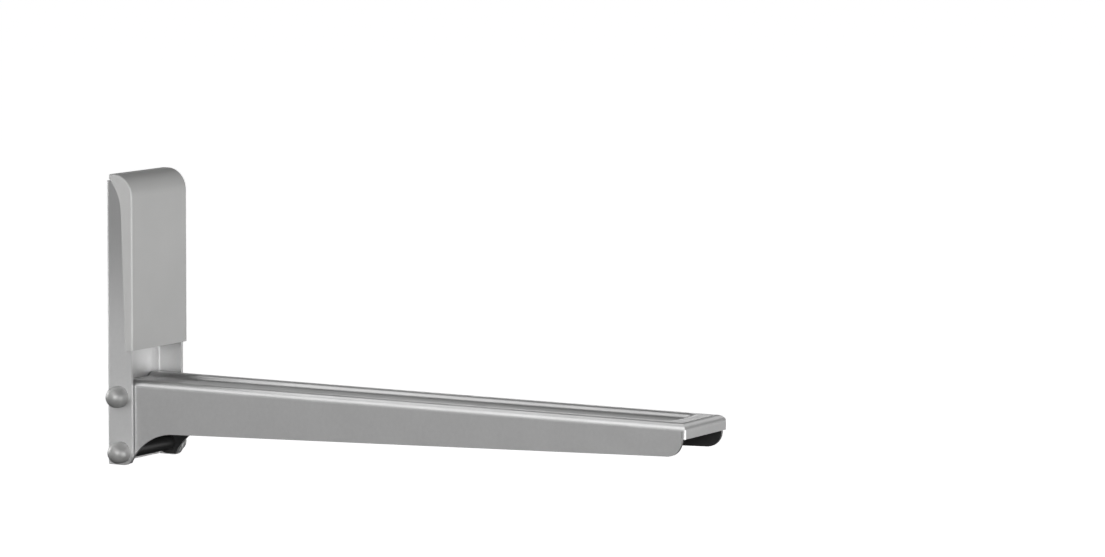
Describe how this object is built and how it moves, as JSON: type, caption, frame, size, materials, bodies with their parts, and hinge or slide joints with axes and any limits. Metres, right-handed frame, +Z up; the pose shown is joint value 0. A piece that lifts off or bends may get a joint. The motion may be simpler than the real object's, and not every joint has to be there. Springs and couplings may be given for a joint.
{
  "type": "microwave wall bracket",
  "caption": "Steel wall bracket for a microwave oven: a wall channel with a moulded cover, and a pressed shelf arm bolted into it.",
  "frame": {"origin": "midway between the two wall screws, on the plane of the wall", "axes": "+Y into the wall, so the arm runs along -Y; +Z up along the channel; +X across the bracket, to the right of someone facing the wall"},
  "size_m": [0.0768, 0.4, 0.1782],
  "materials": {
    "channel_paint": "silver enamel, satin",
    "arm_paint": "silver enamel, satin, with black primer in the hollow",
    "cover_plastic": "silver grey, satin",
    "cap_plastic": "silver grey, satin",
    "zinc_steel": "zinc plated",
    "washer_nylon": "natural white nylon",
    "spacer_plastic": "black, smooth"
  },
  "bodies": {
    "root": {"wall_channel": "channel_paint", "arm": "arm_paint", "cover": "cover_plastic", "upper_bolt": "zinc_steel", "lower_bolt": "zinc_steel", "upper_nut": "zinc_steel", "lower_nut": "zinc_steel", "upper_head_washer": "zinc_steel", "upper_nut_washer": "zinc_steel", "lower_head_washer": "zinc_steel", "lower_nut_washer": "zinc_steel", "upper_left_side_washer": "washer_nylon", "upper_right_side_washer": "washer_nylon", "lower_left_side_washer": "washer_nylon", "lower_right_side_washer": "washer_nylon", "upper_spacer": "spacer_plastic", "lower_spacer": "spacer_plastic", "upper_left_cap": "cap_plastic", "upper_right_cap": "cap_plastic", "lower_left_cap": "cap_plastic", "lower_right_cap": "cap_plastic"}
  },
  "joints": []
}
